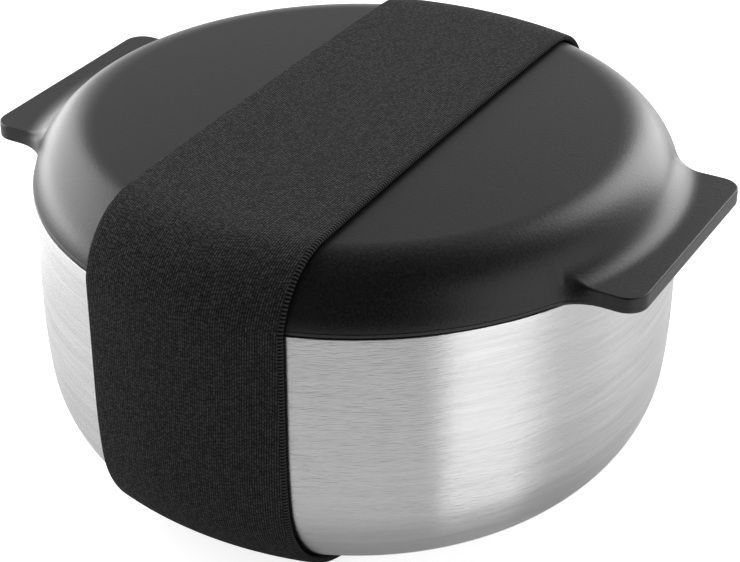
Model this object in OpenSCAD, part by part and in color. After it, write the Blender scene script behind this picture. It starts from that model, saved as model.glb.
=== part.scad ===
// Insulated steel bowl with a moulded lid and an elastic carrying band.
// +Z is up, X runs through the two grips and the band lies across Y. The part stands on the band at Z = 0.

/* [Bowl] */
// Outer radius of the steel wall at the rim
bowl_r = 76.2; // [70:0.1:84]
// Height from the underside of the base to the rim
bowl_h = 72.1; // [66:0.1:90]
// Radius of the slow inward curve of the lower wall
wall_curve_r = 165; // [120:1:200]
// Lean of the wall where the slow curve meets the corner, in degrees
wall_lean = 5.7; // [4:0.1:9]
// Radius of the corner between wall and base
corner_r = 29.9; // [22:0.1:34]
// Thickness of the steel sheet
sheet_t = 0.8; // [0.5:0.05:1.2]
// Empty gap between the two steel walls
vacuum_gap = 5; // [4.5:0.1:7]
// Radius of the turned-out mouth of the inner bowl, on its underside
mouth_r = 2; // [1:0.1:3]

/* [Base] */
// Width of the flat rim that is left round the cap
base_rim_w = 8.8; // [6:0.1:14]
// Play round the cap in its recess
cap_gap = 0.2; // [0.1:0.05:0.5]
// Depth of the recess that holds the cap
recess_d = 1.2; // [0.9:0.1:2]
// Radius of the well round the evacuation port
well_r = 5; // [4:0.1:7]
// Depth of that well
well_d = 1.3; // [0.8:0.1:1.6]
// Radius of the evacuation port
port_r = 1.2; // [0.8:0.1:2]
// Thickness of the bead that seals the port
bead_t = 1; // [0.5:0.1:1.2]
// Radius of the getter pill
getter_r = 4; // [3:0.1:5]
// Thickness of the getter pill
getter_h = 1.6; // [1:0.1:2]
// Sheet thickness of the clip that holds the pill
clip_t = 0.4; // [0.3:0.05:0.6]
// Distance of the pill from the middle of the base
getter_place = 22; // [15:0.5:26]

/* [Lid cover] */
// How far the foot of the dome lies inside the steel wall
lid_inset = 0.2; // [0:0.05:0.6]
// Height of the middle of the dome above the rim
lid_rise = 14.7; // [12:0.1:20]
// Radius of the nearly flat crown
crown_r = 3000; // [600:50:6000]
// Radius of the shoulder
shoulder_r = 15.8; // [11:0.1:18]
// Wall thickness of the cover
lid_t = 2.4; // [1.8:0.1:3]
// Height of the upright land at the cover's lower edge
edge_land_h = 0.5; // [0.3:0.1:1.6]
// Gap between the cover and the rim, where the seal carries the lid
lid_gap = 0.3; // [0.2:0.05:0.6]

/* [Grips] */
// How far a grip's straight outer edge stands out from the steel wall
grip_out = 8.3; // [5:0.1:14]
// Width of a grip across its sides
grip_w = 60.8; // [48:0.1:66]
// Thickness of a grip, up from the level of the lid's lower edge
grip_t = 3.7; // [2.4:0.1:5]
// Radius of a grip's outer corners
grip_corner_r = 4.9; // [2:0.1:7]
// Radius where a grip's sides flare into the dome
grip_root_r = 11; // [6:0.1:13]
// Radius of the hollow blend between a grip's top and the dome
grip_blend_r = 9; // [5:0.1:10]

/* [Lid inside] */
// Depth of the plug below the lid's lower edge
plug_depth = 9; // [8:0.1:12]
// Wall thickness of the liner
liner_t = 1.8; // [1.4:0.1:2.2]
// Gap between the plug and the inner bowl, which the seal closes
plug_gap = 2.2; // [1.6:0.1:3]
// Depth of the seal's groove
groove_d = 1.5; // [1:0.1:2]
// Height of the seal's groove
groove_h = 3; // [2.4:0.1:3.4]
// Height of the plug wall left above the groove
groove_top = 3.5; // [3:0.1:4]
// Play of the pieces that are held in one another
fit_play = 0.2; // [0.05:0.05:0.3]
// Running gap between the seal's lips and the inner bowl
seal_gap = 0.3; // [0.2:0.05:0.5]
// Thickness of a seal lip at its tip
lip_t = 0.5; // [0.3:0.05:0.7]
// Thickness of the insulating disc
foam_h = 14; // [8:0.5:15]

/* [Band] */
// Width of the elastic band
band_w = 50; // [38:0.5:56]
// Thickness of the elastic band
band_t = 1.4; // [1:0.1:2]
// Gap between the band and what it goes round
band_gap = 0.3; // [0.2:0.05:0.5]
// Lower end of the sewn lap, in degrees below the level of the corner's centre
lap_low_angle = 56; // [50:1:60]
// Upper end of the sewn lap, in degrees below the level of the corner's centre
lap_high_angle = 26; // [20:1:32]
// Radius of the sewing thread
thread_r = 0.3; // [0.2:0.05:0.4]
// Length of one stitch
stitch_len = 2.6; // [2:0.1:4]
// Distance from one stitch to the next
stitch_pitch = 3.4; // [3:0.1:5]
// Distance of the stitches from the edges and ends of the lap
stitch_inset = 3; // [2:0.1:5]

/* [Hidden] */
$fn = 120;
// Turn of one chord in a drawn arc, in degrees
arc_step = 3;
// Overrun of every cut
overrun = 1;
// Share of the band's thickness by which the lap is sunk into the run under it
lap_sink_share = 0.5;

// Heights of the main levels, from the surface that the part stands on
base_z = band_t + band_gap;
rim_z = base_z + bowl_h;
lid_z = rim_z + lid_gap;

// Radius of the dome's foot, and distance of the grips' outer edges from the middle
lid_r = bowl_r - lid_inset;
grip_reach = bowl_r + grip_out;

// Centres of the two arcs of the bowl's outline, as [radius, height]
curve_less_corner = wall_curve_r - corner_r;
curve_z = base_z + corner_r + curve_less_corner * sin(wall_lean);
wall_c = [bowl_r - wall_curve_r, curve_z];
corner_c = [wall_c.x + curve_less_corner * cos(wall_lean), base_z + corner_r];

// Radius of the cap over the base
cap_r = corner_c.x - base_rim_w;

// Steel layers, as distances inwards from the bowl's outline
liner_back = sheet_t + vacuum_gap;
liner_face = liner_back + sheet_t;
cavity_r = bowl_r - liner_face;
floor_z = base_z + recess_d;

// Centre of the lid's shoulder: it runs through the lower edge and touches the crown from inside
crown_c = [0, lid_z + lid_rise - crown_r];
shoulder_c = touching_centre([lid_r, lid_z], shoulder_r, crown_c, crown_r - shoulder_r);
crown_a = atan2(shoulder_c.y - crown_c.y, shoulder_c.x - crown_c.x);
land_top_z = lid_z + edge_land_h;
land_a = asin((land_top_z - shoulder_c.y) / shoulder_r);
cover_inner_r = shoulder_r - lid_t;

// Centre of the hollow blend: it touches the shoulder from outside and the grip's top face
grip_top_z = lid_z + grip_t;
blend_up = grip_top_z + grip_blend_r - shoulder_c.y;
blend_out = sqrt(pow(shoulder_r + grip_blend_r, 2) - pow(blend_up, 2));
blend_c = shoulder_c + [blend_out, blend_up];
blend_a = atan2(blend_up, blend_out);
blend_r_on_dome = shoulder_c.x + shoulder_r * cos(blend_a);

// Centre of a grip's flared root in plan: it touches the grip's side and the ring where the blend starts
root_y = grip_w / 2 + grip_root_r;
root_c = [sqrt(pow(blend_r_on_dome + grip_root_r, 2) - pow(root_y, 2)), root_y];
root_a = atan2(root_c.y, root_c.x);

// Radii of the lid's plug, from the bowl outwards in
plug_r = cavity_r - plug_gap;
groove_r = plug_r - groove_d;
plug_bore_r = groove_r - liner_t;
flange_r = inner_cover_r(lid_z + liner_t) - fit_play;

// Circle centre at given distances from two points, on the left of the way from the second to the first
function touching_centre(p, p_dist, q, q_dist) =
    let (gap = norm(p - q),
         along = (pow(q_dist, 2) - pow(p_dist, 2) + pow(gap, 2)) / (2 * gap),
         aside = sqrt(pow(q_dist, 2) - pow(along, 2)),
         way = (p - q) / gap)
    q + along * way + aside * [-way.y, way.x];

// Points of an arc, with a chord every few degrees
function arc(centre, radius, from_a, to_a) =
    let (steps = max(2, ceil(abs(to_a - from_a) / arc_step)))
    [for (i = [0 : steps])
        let (a = from_a + (to_a - from_a) * i / steps)
        centre + radius * [cos(a), sin(a)]];

function backwards(points) = [for (i = [len(points) - 1 : -1 : 0]) points[i]];
function without_first(points) = [for (i = [1 : len(points) - 1]) points[i]];
function without_last(points) = [for (i = [0 : len(points) - 2]) points[i]];
function mirrored(points) = backwards([for (p = points) [-p.x, p.y]]);

// Outline of the bowl from its flat base to the upright wall, moved outwards by d
function bowl_outline(d) = concat(
    without_last(arc(corner_c, corner_r + d, -90, -wall_lean)),
    arc(wall_c, wall_curve_r + d, -wall_lean, 0));

// Outline of the dome from a given angle on its shoulder to its middle, moved outwards by d
function dome_outline(d, from_a) = concat(
    without_last(arc(shoulder_c, shoulder_r + d, from_a, blend_a)),
    without_last(arc(shoulder_c, shoulder_r + d, blend_a, crown_a)),
    arc(crown_c, crown_r + d, crown_a, 90));

// Inner radius of the cover at a given height on its shoulder
function inner_cover_r(z) = shoulder_c.x + sqrt(pow(cover_inner_r, 2) - pow(z - shoulder_c.y, 2));

// Angle at which a band moved outwards by d leaves the lid's upper edge and lies on the shoulder
function drape_a(d) =
    let (reach = [bowl_r + d, land_top_z + d] - shoulder_c)
    atan2(reach.y, reach.x) + acos((shoulder_r + d) / norm(reach));

// Drawn steel shell with a recess for the base cap and a port in the middle
module outer_shell() {
    riser_r = cap_r + cap_gap;
    color("silver") rotate_extrude() polygon(concat(
        [[port_r, floor_z + well_d], [well_r, floor_z + well_d], [well_r, floor_z],
         [riser_r, floor_z], [riser_r, base_z]],
        bowl_outline(0),
        [[bowl_r, rim_z], [bowl_r - sheet_t, rim_z]],
        backwards(bowl_outline(-sheet_t)),
        [[riser_r + sheet_t, base_z + sheet_t], [riser_r + sheet_t, floor_z + sheet_t],
         [well_r + sheet_t, floor_z + sheet_t], [well_r + sheet_t, floor_z + well_d + sheet_t],
         [port_r, floor_z + well_d + sheet_t]]));
}

// Drawn steel bowl whose turned-out mouth is welded inside the shell's edge
module inner_bowl() {
    turn_c = [bowl_r - liner_back + mouth_r, rim_z - sheet_t - mouth_r];
    color("gainsboro") rotate_extrude() polygon(concat(
        [[0, base_z + liner_back]],
        bowl_outline(-liner_back),
        arc(turn_c, mouth_r, 180, 90),
        [[bowl_r - sheet_t, rim_z - sheet_t], [bowl_r - sheet_t, rim_z]],
        arc(turn_c, mouth_r + sheet_t, 90, 180),
        backwards(bowl_outline(-liner_face)),
        [[0, base_z + liner_face]]));
}

// Pressed steel disc that covers the port
module base_cap() {
    edge_c = [cap_r - sheet_t, floor_z];
    color("silver") rotate_extrude()
        polygon(concat([[0, floor_z], [0, floor_z - sheet_t]], arc(edge_c, sheet_t, -90, 0)));
}

// Melted bead in the well of the port
module port_bead() {
    color("slategray") translate([0, 0, floor_z + well_d - bead_t])
        cylinder(r = well_r - fit_play, h = bead_t);
}

// Pressed cup, open upwards, that holds the pill against the inner bowl's underside
module getter_clip() {
    cup_r = getter_r + fit_play + clip_t;
    cup_z = base_z + liner_back - getter_h - clip_t;
    color("darkgray") translate([getter_place, 0, cup_z]) difference() {
        cylinder(r = cup_r, h = getter_h + clip_t);
        translate([0, 0, clip_t]) cylinder(r = cup_r - clip_t, h = getter_h + overrun);
    }
}

// Getter pill in the evacuated gap
module getter_pill() {
    color("dimgray") translate([getter_place, 0, base_z + liner_back - getter_h])
        cylinder(r = getter_r, h = getter_h);
}

// Outline of the grip at +X, in plan, with round corners and flared roots, closed inside the dome
module grip_plan() {
    corner_x = grip_reach - grip_corner_r;
    corner_y = grip_w / 2 - grip_corner_r;
    side = concat(
        arc([corner_x, corner_y], grip_corner_r, 0, 90),
        arc(root_c, grip_root_r, 270, 180 + root_a));
    inside = [[shoulder_c.x, side[len(side) - 1].y]];
    half = concat(side, inside);
    polygon(concat(half, backwards([for (p = half) [p.x, -p.y]])));
}

// One grip: a plate, and the hollow blend from its top up to the dome
module grip() {
    translate([0, 0, lid_z]) linear_extrude(height = grip_t) grip_plan();
    intersection() {
        rotate_extrude() polygon(concat(
            arc(blend_c, grip_blend_r, 180 + blend_a, 270),
            [[blend_c.x, lid_z], [shoulder_c.x, lid_z]]));
        translate([0, 0, lid_z]) linear_extrude(height = lid_rise) grip_plan();
    }
}

// Moulded dome with an upright land at its edge and two grips that flow out of it
module lid_cover() {
    cavity_a = asin((lid_z - shoulder_c.y) / cover_inner_r);
    color("#2c2c2e") difference() {
        union() {
            rotate_extrude() polygon(concat(
                [[0, lid_z], [bowl_r, lid_z], [bowl_r, land_top_z]], dome_outline(0, land_a)));
            grip();
            mirror([1, 0, 0]) grip();
        }
        rotate_extrude() polygon(concat(
            [[0, lid_z - overrun], [inner_cover_r(lid_z), lid_z - overrun]],
            dome_outline(-lid_t, cavity_a)));
    }
}

// Moulded plug that closes the cover from below, with a groove for the seal
module lid_liner() {
    plug_z = lid_z - plug_depth;
    groove_z = lid_z - groove_top;
    color("#3a3a3c") rotate_extrude() polygon(concat(
        [[0, plug_z]],
        arc([plug_r - liner_t, plug_z + liner_t], liner_t, -90, 0),
        [[plug_r, groove_z - groove_h], [groove_r, groove_z - groove_h],
         [groove_r, groove_z], [plug_r, groove_z], [plug_r, lid_z],
         [flange_r, lid_z], [flange_r, lid_z + liner_t], [plug_bore_r, lid_z + liner_t],
         [plug_bore_r, plug_z + liner_t], [0, plug_z + liner_t]]));
}

// Insulating disc between the liner and the dome
module lid_foam() {
    color("whitesmoke") translate([0, 0, lid_z - plug_depth + liner_t])
        cylinder(r = plug_bore_r - fit_play, h = foam_h);
}

// Silicone ring in the groove, with two lips towards the inner bowl
module lid_seal() {
    foot_r = groove_r + fit_play / 2;
    tip_r = cavity_r - seal_gap;
    low_z = lid_z - groove_top - groove_h + fit_play / 2;
    high_z = lid_z - groove_top - fit_play / 2;
    mid_z = (low_z + high_z) / 2;
    color("#4a4a4c") rotate_extrude() polygon([
        [foot_r, low_z], [plug_r, low_z], [tip_r, low_z + lip_t], [tip_r, low_z + 2 * lip_t],
        [plug_r, mid_z - lip_t / 2], [plug_r, mid_z + lip_t / 2],
        [tip_r, high_z - lip_t], [tip_r, high_z], [plug_r, high_z], [foot_r, high_z]]);
}

// Solid of the band from its section in the plane across the part
module across_band() {
    rotate([90, 0, 90]) linear_extrude(height = band_w, center = true) children();
}

// Lower run of the elastic loop, under the bowl and up both sides, with its ends lapped low at the back
module band_lower() {
    run = function (d)
        let (half = concat(bowl_outline(d), [[bowl_r + d, rim_z]]))
        concat(mirrored(half), half);
    lap_r = corner_r + band_gap + 2 * band_t;
    color("#1f1f20") across_band() {
        polygon(concat(run(band_gap + band_t), backwards(run(band_gap))));
        polygon(concat(
            arc(corner_c, lap_r, -lap_low_angle, -lap_high_angle),
            arc(corner_c, lap_r - band_t * (1 + lap_sink_share), -lap_high_angle, -lap_low_angle)));
    }
}

// Upper run of the elastic loop, over the lid
module band_upper() {
    run = function (d)
        let (half = concat(
            [[bowl_r + d, rim_z], [bowl_r + d, land_top_z + d]],
            without_last(arc(shoulder_c, shoulder_r + d, drape_a(d), crown_a)),
            arc(crown_c, crown_r + d, crown_a, 90)))
        concat(half, without_first(mirrored(half)));
    color("#1f1f20") across_band() polygon(concat(run(band_gap + band_t), backwards(run(band_gap))));
}

// Two rows of thread through the lapped ends of the band
module seam_stitches() {
    row_r = corner_r + band_gap + 2 * band_t + thread_r;
    inset_a = stitch_inset / row_r * 180 / PI;
    count = floor((band_w - 2 * stitch_inset) / stitch_pitch);
    color("#101010") for (a = [lap_low_angle - inset_a, lap_high_angle + inset_a], i = [0 : count - 1]) {
        place = corner_c + row_r * [cos(a), -sin(a)];
        translate([(i - (count - 1) / 2) * stitch_pitch, place.x, place.y])
            rotate([0, 90, 0]) cylinder(r = thread_r, h = stitch_len, center = true);
    }
}

outer_shell();
inner_bowl();
base_cap();
port_bead();
getter_clip();
getter_pill();
lid_cover();
lid_liner();
lid_foam();
lid_seal();
band_lower();
band_upper();
seam_stitches();
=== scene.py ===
import math

import bmesh
import bpy
import numpy as np
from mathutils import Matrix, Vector


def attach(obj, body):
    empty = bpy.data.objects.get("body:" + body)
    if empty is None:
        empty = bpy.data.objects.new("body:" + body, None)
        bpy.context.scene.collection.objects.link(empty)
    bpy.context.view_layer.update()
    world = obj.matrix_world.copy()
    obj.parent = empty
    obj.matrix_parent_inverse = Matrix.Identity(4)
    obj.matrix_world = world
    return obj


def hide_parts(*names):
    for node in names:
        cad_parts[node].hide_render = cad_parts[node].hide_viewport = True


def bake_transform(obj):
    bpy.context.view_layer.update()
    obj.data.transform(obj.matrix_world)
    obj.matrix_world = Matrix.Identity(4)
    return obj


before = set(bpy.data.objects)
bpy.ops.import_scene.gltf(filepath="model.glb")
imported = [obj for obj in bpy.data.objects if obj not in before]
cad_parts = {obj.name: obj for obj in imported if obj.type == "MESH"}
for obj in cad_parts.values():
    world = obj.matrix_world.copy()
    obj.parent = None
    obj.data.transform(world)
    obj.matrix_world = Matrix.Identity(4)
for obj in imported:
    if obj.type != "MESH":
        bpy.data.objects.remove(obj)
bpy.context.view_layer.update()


# Outer wall of the bowl: a deep cup drawn from stainless sheet and brushed round on a lathe.
# Its mouth is a plain dressed edge. The base has a flat rim, a shallow recess for the base cap
# and, in the middle of the recess, a well with the evacuation port. Sizes are in metres.
BOWL_R = 0.0762
BASE_Z = 0.0017
RIM_Z = 0.0738
WALL_CURVE_R = 0.165
WALL_LEAN = 5.7
CORNER_R = 0.0299
SHEET = 0.0008
RIM_ROUND = 0.00015
BASE_RIM_W = 0.0088
RECESS_Z = 0.0029
WELL_R = 0.005
WELL_DEPTH = 0.0013
PORT_R = 0.0012
TURNED_STEPS = 256
WALL_STEPS = 24
LEAN = math.radians(WALL_LEAN)
CURVE_Z = BASE_Z + CORNER_R + (WALL_CURVE_R - CORNER_R) * math.sin(LEAN)
WALL_C = (BOWL_R - WALL_CURVE_R, CURVE_Z)
CORNER_C = (WALL_C[0] + (WALL_CURVE_R - CORNER_R) * math.cos(LEAN), BASE_Z + CORNER_R)
CAP_RECESS_R = CORNER_C[0] - BASE_RIM_W
WELL_Z = RECESS_Z + WELL_DEPTH


def arc(centre, radius, start, stop, count):
    """Points of an arc as rows of [radius, height]: the centre plus the radius times the cosine and
    sine of an angle that runs evenly from start to stop, in degrees."""
    turn = np.radians(np.linspace(start, stop, count))
    return np.column_stack((centre[0] + radius * np.cos(turn), centre[1] + radius * np.sin(turn)))


def bowl_outline(out):
    """Outline of the bowl from the edge of its flat base to the upright wall, moved outwards by out:
    the corner's arc, then the slow arc of the wall, each with its radius made larger by out."""
    return np.vstack((arc(CORNER_C, CORNER_R + out, -90, -WALL_LEAN, count=48)[:-1],
                      arc(WALL_C, WALL_CURVE_R + out, -WALL_LEAN, 0, count=WALL_STEPS)))


def surface(name, grid, close_rows=False, close_columns=True, uv=None):
    """Mesh object from a grid of points, [row, column, xyz], or from several such grids: each quad joins
    a row to the next and a column to the next, and a closed direction joins its last to its first.
    Points that meet, as at a pole, are merged, and the faces are turned outwards."""
    merge_reach, sharp_turn = 1e-7, math.radians(40)
    grid = np.asarray(grid, float)
    *_, rows, columns, _ = grid.shape
    first, start = np.meshgrid(np.arange(rows if close_rows else rows - 1),
                               np.arange(columns if close_columns else columns - 1), indexing="ij")
    corners = ((0, 0), (0, 1), (1, 1), (1, 0))
    one = np.stack([(first + i) % rows * columns + (start + j) % columns for i, j in corners], -1)
    copies = grid.reshape(-1, rows * columns, 3).shape[0]
    quads = (np.arange(copies)[:, None, None] * rows * columns + one.reshape(1, -1, 4)).reshape(-1, 4)
    mesh = bpy.data.meshes.new(name)
    mesh.from_pydata(grid.reshape(-1, 3), [], quads)
    if uv is not None:
        picked = np.stack([uv[first + i, start + j] for i, j in corners], 2)
        layer = mesh.uv_layers.new(name="lie")
        layer.data.foreach_set("uv", np.tile(picked.reshape(-1), copies).astype(np.float32))
    work = bmesh.new()
    work.from_mesh(mesh)
    bmesh.ops.remove_doubles(work, verts=work.verts, dist=merge_reach)
    bmesh.ops.recalc_face_normals(work, faces=work.faces)
    work.to_mesh(mesh)
    work.free()
    mesh.shade_smooth()
    mesh.set_sharp_from_angle(angle=sharp_turn)
    piece = bpy.data.objects.new(name, mesh)
    bpy.context.scene.collection.objects.link(piece)
    return piece


def turned(name, profile, closed):
    """Solid of revolution about Z: every point [radius, height] of the profile is carried round a circle.
    The map has the way round, at the wall's radius, across and the way along the profile up. Its seam
    is at the back, under the band."""
    profile = np.asarray(profile, float)
    turn = np.linspace(0, 2 * np.pi, TURNED_STEPS + 1) + np.pi / 2
    ring = np.stack((np.cos(turn[:-1]), np.sin(turn[:-1])), -1)
    grid = np.empty((len(profile), TURNED_STEPS, 3))
    grid[..., :2] = profile[:, None, :1] * ring[None]
    grid[..., 2] = profile[:, 1:]
    path = np.vstack((profile, profile[:1])) if closed else profile
    way = np.concatenate(([0], np.cumsum(np.linalg.norm(np.diff(path, axis=0), axis=1))))
    lie = np.stack(np.broadcast_arrays(turn[None] * BOWL_R, way[:, None]), -1)
    return surface(name, grid, close_rows=closed, uv=lie)


def wire(tree, kind, links=None, **settings):
    """Adds a shader node, gives it its settings, and links or sets the inputs named in links."""
    made = tree.nodes.new(kind)
    for name, value in settings.items():
        setattr(made, name, value)
    for name, value in (links or {}).items():
        if isinstance(value, bpy.types.NodeSocket):
            tree.links.new(value, made.inputs[name])
        else:
            made.inputs[name].default_value = value
    return made


def group(name, inputs, outputs):
    """New shader node group with those sockets: returns its tree, its input node and its output node."""
    tree = bpy.data.node_groups.new(name, "ShaderNodeTree")
    for socket, kind in inputs:
        tree.interface.new_socket(name=socket, in_out="INPUT", socket_type=kind)
    for socket in outputs:
        tree.interface.new_socket(name=socket, in_out="OUTPUT", socket_type="NodeSocketFloat")
    return tree, tree.nodes.new("NodeGroupInput"), tree.nodes.new("NodeGroupOutput")


def new_finish(name):
    """New material: returns it with its node tree and its shader."""
    made = bpy.data.materials.new(name)
    made.use_nodes = True
    return made, made.node_tree, made.node_tree.nodes["Principled BSDF"]


def tint(tree, shader, tone, dark, pale):
    """Lets a tone move the shader's colour from dark to pale."""
    colour = wire(tree, "ShaderNodeMix", {0: tone, 6: (*dark, 1), 7: (*pale, 1)}, data_type="RGBA")
    tree.links.new(colour.outputs[2], shader.inputs["Base Color"])


def roughen(tree, shader, tone, low, high):
    """Lets a tone move the shader's roughness, which is low where the tone is 0 and high where it is 1."""
    rough = wire(tree, "ShaderNodeMapRange", {"Value": tone, "To Min": low, "To Max": high})
    tree.links.new(rough.outputs[0], shader.inputs["Roughness"])


def dent(tree, shader, height, depth, strength):
    """Lets a height dent the shader's face to the given depth."""
    bump = wire(tree, "ShaderNodeBump", {"Height": height, "Distance": depth, "Strength": strength})
    tree.links.new(bump.outputs[0], shader.inputs["Normal"])


def brush_lines():
    """Lines left by a brush on a turning piece: noises stretched round the piece. Height has the finest
    lines and feeds a bump. Tone has strokes a few lines wide and moves the colour and the roughness."""
    fine_scale, stroke_scale, broad_scale = 4.0, 1.0, 0.31
    tone_low, tone_high = 0.75, 1.25
    tree, given, result = group(
        "brush_lines",
        [("Lie", "NodeSocketVector"), ("Length", "NodeSocketFloat"), ("Width", "NodeSocketFloat")],
        ["Height", "Tone"])
    parts = wire(tree, "ShaderNodeSeparateXYZ", {0: given.outputs["Lie"]}).outputs
    across = wire(tree, "ShaderNodeMath", {0: parts[0], 1: given.outputs["Length"]}, operation="DIVIDE")
    up = wire(tree, "ShaderNodeMath", {0: parts[1], 1: given.outputs["Width"]}, operation="DIVIDE")
    place = wire(tree, "ShaderNodeCombineXYZ", {0: across.outputs[0], 1: up.outputs[0]}).outputs[0]
    fine, strokes, broad = (
        wire(tree, "ShaderNodeTexNoise", {"Vector": place, "Scale": scale, "Detail": 1.0}).outputs[0]
        for scale in (fine_scale, stroke_scale, broad_scale))
    both = wire(tree, "ShaderNodeMath", {0: strokes, 1: broad}, operation="ADD")
    tone = wire(tree, "ShaderNodeMapRange", {
        "Value": both.outputs[0], "From Min": tone_low, "From Max": tone_high})
    tree.links.new(fine, result.inputs["Height"])
    tree.links.new(tone.outputs[0], result.inputs["Tone"])
    return tree


BRUSH = brush_lines()


def brushed_steel(name, dark, pale, smooth, rough, length, width, depth, spread):
    """Bare steel with brush lines of the given length, width and depth: the tone of the lines moves the
    colour from dark to pale and the roughness from smooth to rough. The gloss spreads across the lines."""
    dent_strength, quarter_turn = 0.5, 0.25
    made, tree, shader = new_finish(name)
    lie = wire(tree, "ShaderNodeUVMap", uv_map="lie")
    lines = wire(tree, "ShaderNodeGroup", {
        "Lie": lie.outputs[0], "Length": length, "Width": width}, node_tree=BRUSH)
    tint(tree, shader, lines.outputs["Tone"], dark, pale)
    roughen(tree, shader, lines.outputs["Tone"], smooth, rough)
    dent(tree, shader, lines.outputs["Height"], depth, dent_strength)
    grain = wire(tree, "ShaderNodeTangent", direction_type="RADIAL", axis="Z")
    tree.links.new(grain.outputs[0], shader.inputs["Tangent"])
    shader.inputs["Metallic"].default_value = 1
    shader.inputs["Anisotropic"].default_value = spread
    shader.inputs["Anisotropic Rotation"].default_value = quarter_turn
    return made


shell = turned("brushed_shell", np.vstack((
    [[PORT_R, WELL_Z], [WELL_R, WELL_Z], [WELL_R, RECESS_Z],
     [CAP_RECESS_R, RECESS_Z], [CAP_RECESS_R, BASE_Z]],
    bowl_outline(0),
    np.linspace((BOWL_R, CURVE_Z), (BOWL_R, RIM_Z - RIM_ROUND), WALL_STEPS + 1)[1:],
    arc((BOWL_R - RIM_ROUND, RIM_Z - RIM_ROUND), RIM_ROUND, 0, 90, count=5)[1:],
    [[BOWL_R - SHEET, RIM_Z]],
    bowl_outline(-SHEET)[::-1],
    [[CAP_RECESS_R + SHEET, BASE_Z + SHEET], [CAP_RECESS_R + SHEET, RECESS_Z + SHEET],
     [WELL_R + SHEET, RECESS_Z + SHEET], [WELL_R + SHEET, WELL_Z + SHEET],
     [PORT_R, WELL_Z + SHEET]])), closed=True)
shell.data.materials.append(brushed_steel(
    "shell_steel", dark=(0.735, 0.735, 0.74), pale=(0.83, 0.83, 0.83), smooth=0.20, rough=0.24,
    length=0.018, width=0.0008, depth=0.00018, spread=1.0))
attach(shell, "bowl")
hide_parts("outer_shell")


# Inner bowl: a second drawn cup that hangs in the outer wall by its turned-out mouth, which is welded
# inside the wall's edge and dressed flush. Its food side is satin. The gap between the two is evacuated.
VACUUM = 0.005
MOUTH_R = 0.002
INNER_BACK = SHEET + VACUUM
INNER_FACE = INNER_BACK + SHEET
MOUTH_C = (BOWL_R - INNER_BACK + MOUTH_R, RIM_Z - SHEET - MOUTH_R)

inner = turned("inner_bowl_satin", np.vstack((
    [[0, BASE_Z + INNER_BACK]],
    bowl_outline(-INNER_BACK),
    arc(MOUTH_C, MOUTH_R, 180, 90, count=10),
    [[BOWL_R - SHEET, RIM_Z - SHEET], [BOWL_R - SHEET, RIM_Z]],
    arc(MOUTH_C, MOUTH_R + SHEET, 90, 180, count=16),
    bowl_outline(-INNER_FACE)[::-1],
    [[0, BASE_Z + INNER_FACE]])), closed=False)
inner.data.materials.append(brushed_steel(
    "inner_steel", dark=(0.66, 0.66, 0.665), pale=(0.74, 0.74, 0.745), smooth=0.30, rough=0.36,
    length=0.012, width=0.00030, depth=0.000006, spread=0.6))
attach(inner, "bowl")
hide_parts("inner_bowl")


# Base cap: a disc pressed from steel sheet with a rounded edge, glued into the recess to hide the port.
# The band runs across it, so that only its two sides show from below.
CAP_GAP = 0.0002
CAP_R = CAP_RECESS_R - CAP_GAP

cap = turned("base_cap_disc", np.vstack((
    [[0, RECESS_Z], [0, RECESS_Z - SHEET]],
    arc((CAP_R - SHEET, RECESS_Z), SHEET, -90, 0, count=10))), closed=True)
cap.data.materials.append(brushed_steel(
    "base_steel", dark=(0.62, 0.62, 0.625), pale=(0.72, 0.72, 0.725), smooth=0.34, rough=0.42,
    length=0.008, width=0.00035, depth=0.000008, spread=0.7))
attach(cap, "bowl")
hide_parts("base_cap")


# Sealing pieces that the cap and the walls hide: the bead melted into the port's well, the getter pill
# of pressed metal powder and the steel cup that holds it under the inner bowl.


def speckled(name, dark, pale, size, rough, metal):
    """Plain finish of a small piece: a noise of the given size moves the colour from dark to pale and
    dents the face."""
    dent_share = 1 / 8
    made, tree, shader = new_finish(name)
    place = wire(tree, "ShaderNodeTexCoord").outputs["Object"]
    noise = wire(tree, "ShaderNodeTexNoise", {"Vector": place, "Scale": 1 / size, "Detail": 4.0}).outputs[0]
    tint(tree, shader, noise, dark, pale)
    dent(tree, shader, noise, size * dent_share, strength=1)
    shader.inputs["Roughness"].default_value = rough
    shader.inputs["Metallic"].default_value = metal
    return made


def finish_node(node, finish):
    """Gives a carried-over node its finish."""
    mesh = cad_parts[node].data
    mesh.materials.clear()
    mesh.materials.append(finish)


finish_node("port_bead", speckled(
    "melted_bead", dark=(0.28, 0.31, 0.35), pale=(0.42, 0.45, 0.49), size=0.002, rough=0.25, metal=0))
finish_node("getter_clip", speckled(
    "clip_steel", dark=(0.62, 0.62, 0.63), pale=(0.72, 0.72, 0.72), size=0.003, rough=0.35, metal=1))
finish_node("getter_pill", speckled(
    "pressed_powder", dark=(0.24, 0.24, 0.25), pale=(0.36, 0.36, 0.36), size=0.0004, rough=0.7, metal=1))


# Lid cover: one moulding in black plastic with a fine satin texture. A nearly flat top runs over a round
# shoulder to an upright land at the edge, and two grips flow out of the shoulder at the sides.
LID_Z = 0.0741
LID_RISE = 0.0147
LID_INSET = 0.0001
CROWN_R = 3.0
SHOULDER_R = 0.0158
COVER_T = 0.0024
LAND_H = 0.0009
EDGE_INSET = 0.00008
LAND_ROUND = 0.00012
FOOT_ROUND = 0.0002
GRIP_REACH = 0.0849
GRIP_HALF = 0.0304
GRIP_T = 0.0037
GRIP_CORNER_R = 0.0049
GRIP_ROOT_R = 0.011
GRIP_BLEND_R = 0.009
GRIP_EDGE = 0.00045
ROOT_EDGE = 0.003
EDGE_R = BOWL_R - EDGE_INSET
GRIP_TOP_Z = LID_Z + GRIP_T
CROWN_C = (0.0, LID_Z + LID_RISE - CROWN_R)


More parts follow.
